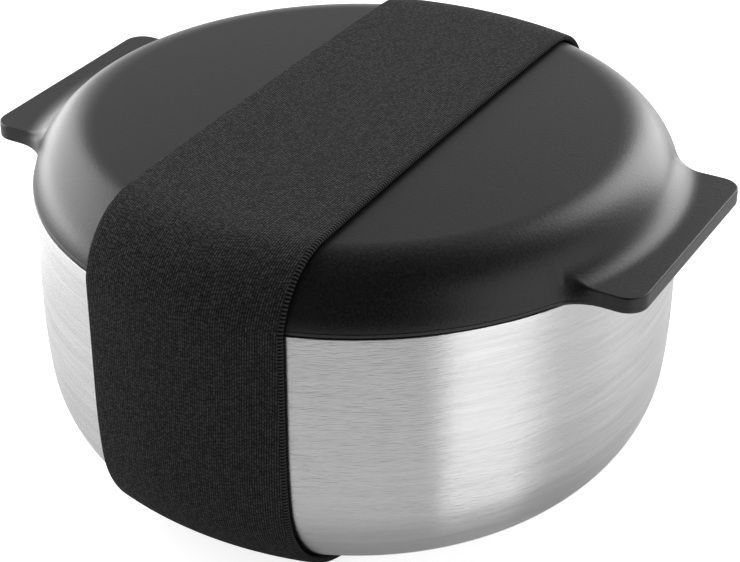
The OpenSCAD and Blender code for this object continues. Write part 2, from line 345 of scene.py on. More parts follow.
def shoulder_centre():
    """Centre of the shoulder's circle, which goes through the lid's lower edge and touches the crown's
    circle from inside: it lies a shoulder's radius from that edge and the difference of the two radii from
    the crown's centre."""
    edge = np.array([BOWL_R - LID_INSET, LID_Z])
    away = edge - CROWN_C
    apart = np.linalg.norm(away)
    way = away / apart
    along = ((CROWN_R - SHOULDER_R) ** 2 - SHOULDER_R ** 2 + apart ** 2) / (2 * apart)
    aside = math.sqrt((CROWN_R - SHOULDER_R) ** 2 - along ** 2)
    return CROWN_C + along * way + aside * np.array([-way[1], way[0]])


SHOULDER_C = shoulder_centre()
CROWN_A = math.atan2(SHOULDER_C[1] - CROWN_C[1], SHOULDER_C[0] - CROWN_C[0])
BLEND_UP = GRIP_TOP_Z + GRIP_BLEND_R - SHOULDER_C[1]
BLEND_OUT = math.sqrt((SHOULDER_R + GRIP_BLEND_R) ** 2 - BLEND_UP ** 2)
BLEND_C = (SHOULDER_C[0] + BLEND_OUT, SHOULDER_C[1] + BLEND_UP)
BLEND_A = math.atan2(BLEND_UP, BLEND_OUT)
BLEND_RING = SHOULDER_C[0] + SHOULDER_R * math.cos(BLEND_A)
LAND_A = math.asin((LID_Z + LAND_H - SHOULDER_C[1]) / SHOULDER_R)
LAND_STEP = EDGE_R - SHOULDER_C[0] - SHOULDER_R * math.cos(LAND_A)


def dome_height(r, inside):
    """Height of the lid over a radius, on its outer face or a wall's thickness inside: a circle about the
    crown's centre out to where the shoulder starts, then a circle about the shoulder's centre."""
    crown, shoulder = CROWN_R - inside, SHOULDER_R - inside
    start = SHOULDER_C[0] + shoulder * math.cos(CROWN_A)
    over = CROWN_C[1] + np.sqrt(crown ** 2 - np.minimum(r, start) ** 2)
    aside = SHOULDER_C[1] + np.sqrt(np.maximum(shoulder ** 2 - np.maximum(r - SHOULDER_C[0], 0) ** 2, 0))
    return np.where(r < start, over, aside)


def bore_radius(height):
    """Radius of the cover's inner face at a height near its foot, on the shoulder's circle less the wall."""
    return SHOULDER_C[0] + math.sqrt((SHOULDER_R - COVER_T) ** 2 - (height - SHOULDER_C[1]) ** 2)


def lid_top_height(r):
    """Height of the lid's upper face over a radius, where a grip is: the dome out to the ring where the
    hollow blend starts, then the blend's circle, then the flat top of the grip."""
    aside = np.minimum(np.abs(r - BLEND_C[0]), GRIP_BLEND_R)
    hollow = BLEND_C[1] - np.sqrt(GRIP_BLEND_R ** 2 - aside ** 2)
    return np.where(r < BLEND_RING, dome_height(r, 0), np.where(r < BLEND_C[0], hollow, GRIP_TOP_Z))


def spaced(path, count):
    """Points at even steps along a path, without its first point."""
    way = np.concatenate(([0], np.cumsum(np.linalg.norm(np.diff(path, axis=0), axis=1))))
    at = np.linspace(0, way[-1], count + 1)[1:]
    return np.column_stack([np.interp(at, way, path[:, i]) for i in range(2)])


def lid_edges():
    """Plan of the lid's upper and lower edge line, clockwise from +Y, and how far each place belongs to a
    grip, from 0 to 1. A quarter has a circle, a root where both lines bend out to the grip's side, each on
    an arc that touches its circle and the side, then the side, a round corner and the straight end. The
    other quarters are its mirror images."""
    ring_steps, root_steps, arc_steps = 48, 28, 40
    root_y = GRIP_HALF + GRIP_ROOT_R
    upper_root = (math.sqrt((BLEND_RING + GRIP_ROOT_R) ** 2 - root_y ** 2), root_y)
    lower_root = (math.sqrt((EDGE_R + GRIP_ROOT_R) ** 2 - root_y ** 2), root_y)
    upper_a = math.degrees(math.atan2(upper_root[1], upper_root[0]))
    lower_a = math.degrees(math.atan2(lower_root[1], lower_root[0]))
    side_start = [lower_root[0], GRIP_HALF]
    corner_c = (GRIP_REACH - GRIP_CORNER_R, GRIP_HALF - GRIP_CORNER_R)
    grip = np.vstack((
        spaced(np.array([side_start, [corner_c[0], GRIP_HALF]]), count=8),
        arc(corner_c, GRIP_CORNER_R, 90, 0, count=18)[1:],
        spaced(np.array([[GRIP_REACH, corner_c[1]], [GRIP_REACH, 0]]), count=16)))
    upper_bend = np.vstack((arc(upper_root, GRIP_ROOT_R, 180 + upper_a, 270, arc_steps), [side_start]))
    lower_bend = np.vstack((arc((0, 0), EDGE_R, upper_a, lower_a, count=8),
                            arc(lower_root, GRIP_ROOT_R, 180 + lower_a, 270, arc_steps)[1:]))
    upper, lower = (
        np.vstack((arc((0, 0), radius, 90, upper_a, ring_steps), spaced(bend, root_steps), grip))
        for radius, bend in ((BLEND_RING, upper_bend), (EDGE_R, lower_bend)))
    belongs = np.concatenate((
        np.zeros(ring_steps), np.linspace(0, 1, root_steps + 1)[1:], np.ones(len(grip))))
    loops = []
    for line in (upper, lower):
        half = np.vstack((line, line[-2::-1] * [1, -1]))
        loops.append(np.vstack((half[:-1], (half * [-1, -1])[:-1])))
    half = np.concatenate((belongs, belongs[-2::-1]))
    return loops[0], loops[1], np.tile(half[:-1], 2)


def outwards(loop):
    """Unit normals of a closed plan line that runs clockwise: its tangent, turned a quarter outwards."""
    tangent = np.roll(loop, -1, axis=0) - np.roll(loop, 1, axis=0)
    normal = np.column_stack((-tangent[:, 1], tangent[:, 0]))
    return normal / np.linalg.norm(normal, axis=1, keepdims=True)


def lid_cover_grid():
    """Rows of points from the middle of the lid's top, over the edge, round the foot and back up inside.
    Upper rows are the upper edge line drawn in towards the axis, at the height of the lid's top. Under the
    edge the section is the shoulder's arc, stretched between the two lines, so that it stands upright on a
    grip. A curve that leaves the top and meets the side along their slopes rounds the edge off, over a
    width that shrinks from the root to the grip."""
    root_meet_share, grip_meet_share, foot_share, bend_share = 0.5, 0.13, 0.3, 0.85
    nudge, nudge_share = 1e-5, 0.01
    upper, lower, grip = lid_edges()
    ease = grip ** 2 * (3 - 2 * grip)
    out, over = outwards(lower), outwards(upper)
    step_in = lower - (LAND_STEP * (1 - ease))[:, None] * out
    edge_z = lid_top_height(np.linalg.norm(upper, axis=1))
    land_z = LID_Z + LAND_H
    rows = []

    def row(plan, height):
        rows.append(np.column_stack((plan, np.broadcast_to(height, len(plan)))))

    def side(share):
        turn = BLEND_A + (LAND_A - BLEND_A) * share
        along = (np.cos(turn) - math.cos(BLEND_A)) / (math.cos(LAND_A) - math.cos(BLEND_A))
        down = (math.sin(BLEND_A) - np.sin(turn)) / (math.sin(BLEND_A) - math.sin(LAND_A))
        plan = upper + (step_in - upper) * along[:, None]
        return np.column_stack((plan, edge_z + (land_z - edge_z) * down))

    width = ROOT_EDGE + (GRIP_EDGE - ROOT_EDGE) * ease
    rim = upper - width[:, None] * over
    rim_r = np.linalg.norm(rim, axis=1)
    flat_r = SHOULDER_C[0] - ROOT_EDGE
    flat_rows = flat_r * np.linspace(0, 1, 8)[:-1, None] * np.ones(len(rim))
    shoulder_rows = flat_r + (rim_r - flat_r) * np.linspace(0, 1, 56)[:, None]
    for radius in np.vstack((flat_rows, shoulder_rows)):
        row(rim * (radius / rim_r)[:, None], lid_top_height(radius))
    first = root_meet_share + (grip_meet_share - root_meet_share) * ease
    before, after = (lid_top_height(np.linalg.norm(rim + step * over, axis=1)) for step in (-nudge, nudge))
    top_slope = (after - before) / (2 * nudge)
    leave, meet = rows[-1], side(first)
    fall = side(first + nudge_share) - side(first - nudge_share)
    side_slope = np.sum(fall[:, :2] * over, axis=1) / fall[:, 2]
    meet_s = np.sum((meet[:, :2] - upper) * over, axis=1)
    drop = leave[:, 2] + top_slope * width - meet[:, 2]
    peak_s = (meet_s + side_slope * drop) / (1 - side_slope * top_slope)
    peak = np.column_stack((upper + peak_s[:, None] * over, leave[:, 2] + top_slope * (peak_s + width)))
    for t in np.linspace(0, 1, 12)[1:-1]:
        rows.append((1 - t) ** 2 * leave + 2 * t * (1 - t) * peak + t ** 2 * meet)
    for share in np.linspace(0, 1, 14):
        rows.append(side(first + (1 - first) * share))
    row(lower - np.minimum(LAND_ROUND, LAND_STEP * (1 - ease))[:, None] * out, land_z)
    row(lower, land_z - LAND_ROUND)
    row(lower, land_z - LAND_H / 2)
    row(lower, LID_Z + FOOT_ROUND)
    row(lower - foot_share * FOOT_ROUND * out, LID_Z + foot_share * FOOT_ROUND)
    row(lower - FOOT_ROUND * out, LID_Z)
    far = np.linalg.norm(lower, axis=1)
    bore = bore_radius(LID_Z)
    for share in np.concatenate((np.linspace(1, bend_share, 12)[:-1], np.linspace(bend_share, 0, 10))):
        row(lower * (bore * share / far)[:, None], dome_height(np.array(bore * share), COVER_T))
    return np.array(rows)


def mould_grain():
    """Texture of a spark-eroded mould: fine pits over a soft unevenness, both noises of the place on the
    piece. Height feeds a bump, and Tone moves colour and roughness."""
    slow_share, uneven_share, tone_low, tone_high = 0.04, 0.15, 0.3, 0.7
    tree, given, result = group(
        "mould_grain", [("Place", "NodeSocketVector"), ("Size", "NodeSocketFloat")], ["Height", "Tone"])
    scaled = wire(tree, "ShaderNodeMath", {0: 1.0, 1: given.outputs["Size"]}, operation="DIVIDE")
    pits = wire(tree, "ShaderNodeTexNoise", {
        "Vector": given.outputs["Place"], "Scale": scaled.outputs[0], "Detail": 2.0, "Roughness": 0.6})
    slow = wire(tree, "ShaderNodeMath", {0: scaled.outputs[0], 1: slow_share}, operation="MULTIPLY")
    uneven = wire(tree, "ShaderNodeTexNoise", {
        "Vector": given.outputs["Place"], "Scale": slow.outputs[0], "Detail": 3.0})
    both = wire(tree, "ShaderNodeMix", {0: uneven_share, 2: pits.outputs[0], 3: uneven.outputs[0]})
    tone = wire(tree, "ShaderNodeMapRange", {
        "Value": both.outputs[0], "From Min": tone_low, "From Max": tone_high})
    tree.links.new(pits.outputs[0], result.inputs["Height"])
    tree.links.new(tone.outputs[0], result.inputs["Tone"])
    return tree


GRAIN = mould_grain()


def moulded(name, dark, pale, smooth, rough, size, depth):
    """Moulded plastic or rubber with the mould's grain: the tone moves the colour from dark to pale and the
    roughness from smooth to rough."""
    dent_strength = 0.6
    made, tree, shader = new_finish(name)
    place = wire(tree, "ShaderNodeTexCoord")
    grain = wire(tree, "ShaderNodeGroup", {"Place": place.outputs["Object"], "Size": size}, node_tree=GRAIN)
    tint(tree, shader, grain.outputs["Tone"], dark, pale)
    roughen(tree, shader, grain.outputs["Tone"], smooth, rough)
    dent(tree, shader, grain.outputs["Height"], depth, dent_strength)
    return made


cover = surface("lid_cover_moulding", lid_cover_grid())
cover.data.materials.append(moulded(
    "cover_black", dark=(0.001, 0.001, 0.0012), pale=(0.014, 0.014, 0.0142), smooth=0.33, rough=0.36,
    size=0.0006, depth=0.00007))
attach(cover, "lid")
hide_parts("lid_cover")


# Lid liner: the moulded plug that closes the cover from below. Its flange is welded into the foot of the
# cover, and a groove round its wall takes the seal.
PLUG_R = 0.0674
PLUG_DEPTH = 0.009
LINER_T = 0.0018
GROOVE_DEPTH = 0.0015
GROOVE_DROP = 0.0035
GROOVE_H = 0.003
FIT_PLAY = 0.0002
PLUG_Z = LID_Z - PLUG_DEPTH
GROOVE_R = PLUG_R - GROOVE_DEPTH
GROOVE_TOP_Z = LID_Z - GROOVE_DROP
GROOVE_LOW_Z = GROOVE_TOP_Z - GROOVE_H
PLUG_BORE_R = GROOVE_R - LINER_T
FLANGE_Z = LID_Z + LINER_T
FLANGE_R = bore_radius(FLANGE_Z) - FIT_PLAY

liner = turned("lid_plug", np.vstack((
    [[0, PLUG_Z]],
    arc((PLUG_R - LINER_T, PLUG_Z + LINER_T), LINER_T, -90, 0, count=12),
    [[PLUG_R, GROOVE_LOW_Z], [GROOVE_R, GROOVE_LOW_Z], [GROOVE_R, GROOVE_TOP_Z], [PLUG_R, GROOVE_TOP_Z],
     [PLUG_R, LID_Z], [FLANGE_R, LID_Z], [FLANGE_R, FLANGE_Z], [PLUG_BORE_R, FLANGE_Z],
     [PLUG_BORE_R, PLUG_Z + LINER_T], [0, PLUG_Z + LINER_T]])), closed=False)
liner.data.materials.append(moulded(
    "liner_black", dark=(0.011, 0.011, 0.0115), pale=(0.015, 0.015, 0.0155), smooth=0.34, rough=0.42,
    size=0.0005, depth=0.00001))
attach(liner, "lid")
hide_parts("lid_liner")


# Lid seal: a ring of silicone moulded with two lips that bear on the inner bowl.
# It is stretched over the plug and sits in the plug's groove.
SEAL_PLAY = 0.0001
SEAL_TIP_R = 0.0693
LIP_T = 0.0005
SEAL_FOOT_R = GROOVE_R + SEAL_PLAY
SEAL_LOW_Z = GROOVE_LOW_Z + SEAL_PLAY
SEAL_TOP_Z = GROOVE_TOP_Z - SEAL_PLAY
SEAL_MID_Z = (SEAL_LOW_Z + SEAL_TOP_Z) / 2
LIP_R = SEAL_TIP_R - LIP_T / 2
LOW_LIP_Z = SEAL_LOW_Z + 1.5 * LIP_T
TOP_LIP_Z = SEAL_TOP_Z - LIP_T / 2

seal = turned("seal_ring", np.vstack((
    [[SEAL_FOOT_R, SEAL_LOW_Z], [PLUG_R, SEAL_LOW_Z]],
    arc((LIP_R, LOW_LIP_Z), LIP_T / 2, -70, 110, count=9),
    [[PLUG_R, SEAL_MID_Z - LIP_T / 2], [PLUG_R, SEAL_MID_Z + LIP_T / 2]],
    arc((LIP_R, TOP_LIP_Z), LIP_T / 2, -110, 90, count=9),
    [[PLUG_R, SEAL_TOP_Z], [SEAL_FOOT_R, SEAL_TOP_Z]])), closed=True)
seal.data.materials.append(moulded(
    "seal_silicone", dark=(0.045, 0.045, 0.047), pale=(0.055, 0.055, 0.057), smooth=0.5, rough=0.6,
    size=0.0004, depth=0.000008))
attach(seal, "lid")
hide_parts("lid_seal")


# Lid foam: a disc cut from white closed-cell foam, which insulates the lid.
# It lies in the plug under the cover, out of sight.
finish_node("lid_foam", speckled(
    "white_foam", dark=(0.80, 0.80, 0.79), pale=(0.90, 0.90, 0.89), size=0.0008, rough=0.8, metal=0))


# Band: one loop of black woven elastic that is stretched over the lid and under the bowl and draws in
# against both. It has a knitted selvedge along each side. Its ends are lapped low at the back and sewn.
BAND_W = 0.050
BAND_T = 0.0014
BAND_OFF = 0.00085
BAND_HUG = 0.8
BAND_EASE = 0.0012
BAND_STEPS = 900
DRAWN_SHARE = 0.988
DRAWN_W = DRAWN_SHARE * BAND_W
LAP_LOW = 56
LAP_HIGH = 26
LAP_STEPS = 60


def band_profile():
    """Half of the band's middle line in a plane through the axis, from under the bowl to over the lid, as
    columns of radius, height and the normal's two parts: the outline of bowl and lid, moved out by the
    band's offset, with a straight stretch that touches the land's upper edge and the shoulder."""
    land = np.array([BOWL_R, LID_Z + LAND_H])
    reach = land - SHOULDER_C
    lean = math.degrees(math.atan2(reach[1], reach[0]) + math.acos(SHOULDER_R / np.linalg.norm(reach)))
    crown_a = math.degrees(CROWN_A)
    under_z, wall_r = BASE_Z - BAND_OFF, BOWL_R + BAND_OFF

    def straight(start, stop, facing, count):
        return np.column_stack((np.linspace(start, stop, count), np.full(count, facing)))

    def bend(centre, radius, start, stop, count):
        line = arc(centre, radius + BAND_OFF, start, stop, count)
        return np.column_stack((line, np.linspace(start, stop, count)))

    line = np.vstack((
        straight((0, under_z), (CORNER_C[0], under_z), -90, count=200),
        bend(CORNER_C, CORNER_R, -90, -WALL_LEAN, count=160),
        bend(WALL_C, WALL_CURVE_R, -WALL_LEAN, 0, count=60),
        straight((wall_r, CURVE_Z), (wall_r, land[1]), 0, count=120),
        bend(land, 0, 0, lean, count=20),
        bend(SHOULDER_C, SHOULDER_R, lean, crown_a, count=90),
        bend(CROWN_C, CROWN_R, crown_a, 90, count=260)))
    turn = np.radians(line[:, 2])
    return np.column_stack((line[:, :2], np.cos(turn), np.sin(turn)))


def eased(profile, reach, step=0.0001):
    """The profile at even steps, with each column averaged over a bell-shaped window of that reach, as a
    thick band rounds off a corner. The ends keep their place."""
    way = np.concatenate(([0], np.cumsum(np.linalg.norm(np.diff(profile[:, :2], axis=0), axis=1))))
    at = np.arange(0, way[-1], step)
    even = np.column_stack([np.interp(at, way, profile[:, i]) for i in range(4)])
    half = int(3 * reach / step)
    bell = np.exp(-0.5 * (np.arange(-half, half + 1) * step / reach) ** 2)
    bell /= bell.sum()
    soft = even.copy()
    soft[half:-half] = np.column_stack([np.convolve(even[:, i], bell, "valid") for i in range(4)])
    soft[:, 2:] /= np.linalg.norm(soft[:, 2:], axis=1, keepdims=True)
    return soft


PROFILE = eased(band_profile(), BAND_EASE)


def band_line(x, share):
    """The band's middle line at a distance x from the plane across the bowl, with its normals. A point of
    the profile at radius r goes to y, the root of r squared less the hug times x squared: a hug of 1 lies
    on the turned surface all the way, and less stands a little off it at the band's edges. Points are at
    the given shares of the way round, from under the bowl over the back (+Y), the lid and the front."""
    flat_r, axis_r = 0.045, 1e-6
    near = math.sqrt(BAND_HUG) * abs(x)
    low = np.argmax(PROFILE[:, 0] > flat_r)
    top = len(PROFILE) - np.argmax(PROFILE[::-1, 0] > flat_r)
    start = [np.interp(near, PROFILE[:low, 0], PROFILE[:low, i]) for i in range(4)]
    stop = [np.interp(near, PROFILE[:top:-1, 0], PROFILE[:top:-1, i]) for i in range(4)]
    kept = PROFILE[PROFILE[:, 0] > near]
    half = np.vstack((start, kept, stop))
    half[0, 0] = half[-1, 0] = max(near, axis_r)
    y = np.sqrt(np.maximum(half[:, 0] ** 2 - near ** 2, 0))
    lean = half[:, 2] / half[:, 0]
    normal = np.column_stack((lean * BAND_HUG * x, lean * y, half[:, 3]))
    normal /= np.linalg.norm(normal, axis=1, keepdims=True)
    line = np.column_stack((np.full(len(y), x), y, half[:, 1], normal))
    loop = np.vstack((line, (line * [1, -1, 1, 1, -1, 1])[-2::-1]))
    way = np.concatenate(([0], np.cumsum(np.linalg.norm(np.diff(loop[:, :3], axis=0), axis=1))))
    return np.column_stack([np.interp(share * way[-1], way, loop[:, i]) for i in range(6)])


def band_strip(x, out, share):
    """Points of a strip, [place along, place round its section]: for each point of the section, the band's
    line at x, moved out along its normal by out."""
    lines = np.array([band_line(place, share) for place in x])
    return (lines[:, :, :3] + np.asarray(out)[:, None, None] * lines[:, :, 3:]).transpose(1, 0, 2)


def band_section(middle):
    """Section of the band, clockwise from the left end of its outer face: two flat faces and two round
    edges. Returns the places across and the distances out from the band's middle line."""
    face_steps, edge_steps = 30, 9
    flat = DRAWN_W / 2 - BAND_T / 2
    edge = np.radians(np.linspace(90, -90, edge_steps))[1:-1]
    x = np.concatenate((np.linspace(-flat, flat, face_steps), flat + BAND_T / 2 * np.cos(edge)))
    out = np.concatenate((np.full(face_steps, BAND_T / 2), BAND_T / 2 * np.sin(edge)))
    return np.concatenate((x, -x)), middle + np.concatenate((out, -out))


def weave():
    """Woven elastic on a map in metres, across and along: rows of thread that lean and wander a little, in
    short strokes of uneven length, each with its own tone. One edge has a ladder of knitted bars and the
    other a narrow row of turned threads. Tone is the same as Height, so it is partly painted shade: each
    thread darkens towards its sides and towards its strokes' ends, and the gaps between the bars are dark."""
    lean, wander, wander_size = 0.06, 0.3, 0.003
    row_apart, uneven_scale, uneven_length = 17.31, 0.6, 1.0
    darkest_stroke, end_shade, end_reach = 0.5, 0.25, 0.7
    bar_pitch, bar_low, bar_high, bar_tone = 0.00086, -0.8, 0.9, 0.7
    ladder_wide, ladder_narrow, ladder_soft = 0.0011, 0.0004, 0.0002
    tree, given, result = group("weave", [
        ("Lie", "NodeSocketVector"), ("Thread", "NodeSocketFloat"), ("Stroke", "NodeSocketFloat"),
        ("Half width", "NodeSocketFloat")], ["Height", "Tone"])

    def calc(operation, a, b=0.0):
        return wire(tree, "ShaderNodeMath", {0: a, 1: b}, operation=operation).outputs[0]

    def arch(a):
        return calc("SINE", calc("MULTIPLY", calc("FRACT", a), math.pi))

    def noise(place, scale, detail):
        return wire(tree, "ShaderNodeTexNoise", {
            "Vector": place, "Scale": scale, "Detail": detail}, noise_dimensions="2D").outputs[0]

    def ranged(value, ends):
        return wire(tree, "ShaderNodeMapRange", {"Value": value, **ends}).outputs[0]

    parts = wire(tree, "ShaderNodeSeparateXYZ", {0: given.outputs["Lie"]}).outputs
    stray = calc("MULTIPLY", noise(given.outputs["Lie"], 1 / wander_size, 1.0), wander)
    along = calc("DIVIDE", parts[1], given.outputs["Stroke"])
    across = calc("ADD", calc("DIVIDE", parts[0], given.outputs["Thread"]),
                  calc("ADD", calc("MULTIPLY", along, lean), stray))
    thread = calc("FLOOR", across)
    place = wire(tree, "ShaderNodeCombineXYZ", {0: calc("MULTIPLY", thread, row_apart), 1: along}).outputs[0]
    uneven = calc("MULTIPLY", noise(place, uneven_scale, 0.0), uneven_length)
    phase = wire(tree, "ShaderNodeTexWhiteNoise", {"W": thread}, noise_dimensions="1D").outputs["Value"]
    moved = calc("ADD", calc("ADD", along, phase), uneven)
    cell = wire(tree, "ShaderNodeCombineXYZ", {0: thread, 1: calc("FLOOR", moved)}).outputs[0]
    own = wire(tree, "ShaderNodeTexWhiteNoise", {"Vector": cell}, noise_dimensions="2D").outputs["Value"]
    shown = ranged(own, {"To Min": darkest_stroke})
    # Painted shade: a thread darkens towards the ends of its strokes and towards its sides.
    ends = ranged(arch(moved), {"From Max": end_reach, "To Min": end_shade})
    body = calc("MULTIPLY", calc("MULTIPLY", arch(across), ends), shown)
    edge = calc("SUBTRACT", given.outputs["Half width"], calc("ABSOLUTE", parts[0]))
    reach = ranged(parts[0], {
        "From Min": -ladder_wide, "From Max": ladder_wide, "To Min": ladder_narrow, "To Max": ladder_wide})
    # The ladder's bars are pale and the gaps between them dark, which is painted shade in the gaps.
    bars = calc("SINE", calc("MULTIPLY", parts[1], 2 * math.pi / bar_pitch))
    bars = ranged(bars, {"From Min": bar_low, "From Max": bar_high, "To Max": bar_tone})
    ladder = ranged(calc("SUBTRACT", reach, edge), {"From Min": 0.0, "From Max": ladder_soft})
    height = wire(tree, "ShaderNodeMix", {0: ladder, 2: body, 3: bars})
    tree.links.new(height.outputs[0], result.inputs["Height"])
    # The same value is the tone, so the colour carries the weave's painted shade.
    tree.links.new(height.outputs[0], result.inputs["Tone"])
    return tree


WEAVE = weave()


def woven(name, dark, pale, smooth, rough, thread, stroke, depth):
    """Woven elastic: the weave's tone moves the colour from dark to pale and the roughness from rough to
    smooth, and its height dents the face. The colour thus holds painted shade in the weave's gaps as well
    as each stroke's own random tone."""
    dent_strength, gloss, fluff, fluff_rough = 0.7, 0.12, 0.01, 0.5
    made, tree, shader = new_finish(name)
    lie = wire(tree, "ShaderNodeUVMap", uv_map="lie")
    cloth = wire(tree, "ShaderNodeGroup", {
        "Lie": lie.outputs[0], "Thread": thread, "Stroke": stroke,
        "Half width": DRAWN_W / 2}, node_tree=WEAVE)
    tint(tree, shader, cloth.outputs["Tone"], dark, pale)
    roughen(tree, shader, cloth.outputs["Tone"], rough, smooth)
    dent(tree, shader, cloth.outputs["Height"], depth, dent_strength)
    shader.inputs["Specular IOR Level"].default_value = gloss
    shader.inputs["Sheen Weight"].default_value = fluff
    shader.inputs["Sheen Roughness"].default_value = fluff_rough
    return made


# Much of the step from dark to pale is painted shade in the weave's gaps; the rest is each stroke's own
# random tone.
ELASTIC = woven(
    "black_elastic", dark=(0.0005, 0.0005, 0.0006), pale=(0.072, 0.072, 0.0725), smooth=0.7, rough=0.95,
    thread=0.00055, stroke=0.001, depth=0.0002)
section_x, section_out = band_section(0)
round_shares = np.arange(BAND_STEPS) / BAND_STEPS
middle_line = band_line(0, np.linspace(0, 1, BAND_STEPS + 1))[:, :3]
band_length = np.linalg.norm(np.diff(middle_line, axis=0), axis=1).sum()
band_map = np.stack(np.broadcast_arrays(
    np.append(section_x, section_x[0])[None], np.linspace(0, band_length, BAND_STEPS + 1)[:, None]), -1)
band = surface("elastic_band", band_strip(section_x, section_out, round_shares), close_rows=True, uv=band_map)
band.data.materials.append(ELASTIC)

turn_low, turn_high = (
    CORNER_C[0] + (CORNER_R + BAND_OFF) * math.radians(90 - angle) for angle in (LAP_LOW, LAP_HIGH))
lap_shares = np.linspace(turn_low, turn_high, LAP_STEPS) / band_length
lap_x, lap_out = band_section(BAND_T)
lap_grid = band_strip(lap_x, lap_out, lap_shares)
lap_ends = band_strip(lap_x, np.full(len(lap_x), BAND_T), lap_shares[[0, -1]])
lap_grid = np.concatenate((lap_ends[:1], lap_grid, lap_ends[1:]))
lap_way = np.concatenate(([turn_low], lap_shares * band_length, [turn_high]))
lap_map = np.stack(np.broadcast_arrays(np.append(lap_x, lap_x[0])[None], lap_way[:, None]), -1)
lap = surface("band_lap", lap_grid, uv=lap_map)
lap.data.materials.append(ELASTIC)


# Seam: two rows of short stitches in black polyester thread, sewn through the lapped ends of the band.
THREAD_R = 0.0003
STITCH_LEN = 0.0026
STITCH_PITCH = 0.0034
STITCH_COUNT = 12
SEAM_INSET = 0.003
LAP_FACE = 1.5 * BAND_T


def stitch_grids():
    """One short round bar for each stitch, [bar, along, round]: the lap's outer face at a place along and
    across, plus a circle that narrows to a point at both ends as an ellipse does."""
    run_steps, ring_steps = 11, 10
    row_way = np.array([turn_low + SEAM_INSET, turn_high - SEAM_INSET])
    places = (np.arange(STITCH_COUNT) - (STITCH_COUNT - 1) / 2) * STITCH_PITCH
    run = np.sin(np.linspace(-np.pi / 2, np.pi / 2, run_steps))
    x = (places[:, None] + run * STITCH_LEN / 2).ravel()
    lines = np.array([band_line(place, row_way / band_length) for place in x])
    lines = lines.reshape(STITCH_COUNT, run_steps, 2, 6).transpose(2, 0, 1, 3).reshape(-1, run_steps, 6)
    normal = lines[..., 3:]
    aside = np.cross(normal, [1.0, 0.0, 0.0])
    aside /= np.linalg.norm(aside, axis=-1, keepdims=True)
    turn = np.linspace(0, 2 * np.pi, ring_steps + 1)[:-1]
    thick = (THREAD_R * np.sqrt(np.maximum(1 - run ** 4, 0)))[None, :, None, None]
    around = np.cos(turn)[:, None] * aside[:, :, None] + np.sin(turn)[:, None] * normal[:, :, None]
    return (lines[..., :3] + LAP_FACE * normal)[:, :, None] + thick * around


stitches = surface("seam_thread", stitch_grids())
stitches.data.materials.append(speckled(
    "thread_black", dark=(0.006, 0.006, 0.006), pale=(0.02, 0.02, 0.02), size=0.0003, rough=0.7, metal=0))
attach(stitches, "band")
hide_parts("seam_stitches")
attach(lap, "band")
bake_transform(band)
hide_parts("band_lower", "band_upper")


# Studio: a pale paper floor in a pale room that darkens overhead. Soft boxes at the sides and the back are
# tied to the lid and band, to the steel or to the floor. A dark hood round the camera keeps the front of the
# lid deep, and a card on the paper gives the steel its step from grey to white.
FLOOR_HALF = 4.0
CAMERA_AZIMUTH = 29.925
PAPER = 0.78
PAPER_GLOW_SEEN = 0.82
PAPER_GLOW_MIRRORED = 0.1
ROOM = 0.58
ROOM_TOP = 0.03
ROOM_FADE = (0.35, 0.97)
FELT = 0.02
HOOD_R = 0.6
HOOD_SIDES = (-34, 28)
HOOD_TOP = 80
HOOD_STEPS = 40
WHITE = (1, 1, 1, 1)

scene = bpy.context.scene
scene.view_settings.view_transform = "Standard"


def studio_place(aside, height, away):
    """Point of the studio at an angle to the right of the camera and an angle above the floor, in degrees."""
    turn, lift = np.radians(np.asarray(aside) + CAMERA_AZIMUTH), np.radians(height)
    flat = away * np.cos(lift)
    return np.stack(np.broadcast_arrays(flat * np.sin(turn), -flat * np.cos(turn), away * np.sin(lift)), -1)


def put_on(tree, shader, finish):
    """Puts another finish in the place of a material's shader."""
    tree.links.new(finish.outputs[0], tree.nodes["Material Output"].inputs["Surface"])
    tree.nodes.remove(shader)


world = bpy.data.worlds.new("surroundings")
world.use_nodes = True
scene.world = world
tree = world.node_tree
path = wire(tree, "ShaderNodeLightPath").outputs
way = wire(tree, "ShaderNodeSeparateXYZ", {0: wire(tree, "ShaderNodeTexCoord").outputs["Generated"]})
room = wire(tree, "ShaderNodeMapRange", {
    "Value": way.outputs[2], "From Min": ROOM_FADE[0], "From Max": ROOM_FADE[1],
    "To Min": ROOM, "To Max": ROOM_TOP}, interpolation_type="SMOOTHSTEP")
level = wire(tree, "ShaderNodeMix", {0: path["Is Camera Ray"], 2: room.outputs[0], 3: 1.0})
tree.links.new(level.outputs[0], tree.nodes["Background"].inputs["Strength"])
tree.nodes["Background"].inputs["Color"].default_value = WHITE

paper, tree, shader = new_finish("white_paper")
path = wire(tree, "ShaderNodeLightPath").outputs
matt = wire(tree, "ShaderNodeBsdfDiffuse", {"Color": (PAPER, PAPER, PAPER, 1)})
seen = wire(tree, "ShaderNodeMath", {0: path["Is Camera Ray"], 1: PAPER_GLOW_SEEN}, operation="MULTIPLY")
mirrored = wire(tree, "ShaderNodeMath", {
    0: path["Is Glossy Ray"], 1: path["Is Transmission Ray"]}, operation="MAXIMUM")
strength = wire(tree, "ShaderNodeMath", {
    0: mirrored.outputs[0], 1: PAPER_GLOW_MIRRORED, 2: seen.outputs[0]}, operation="MULTIPLY_ADD")
glow = wire(tree, "ShaderNodeEmission", {"Color": WHITE, "Strength": strength.outputs[0]})
put_on(tree, shader, wire(tree, "ShaderNodeAddShader", {0: matt.outputs[0], 1: glow.outputs[0]}))
edge = np.array([-FLOOR_HALF, FLOOR_HALF])
floor_grid = np.stack(np.broadcast_arrays(edge[None], edge[:, None], 0.0), -1)
floor = surface("floor", floor_grid, close_columns=False)
floor.data.materials.append(paper)

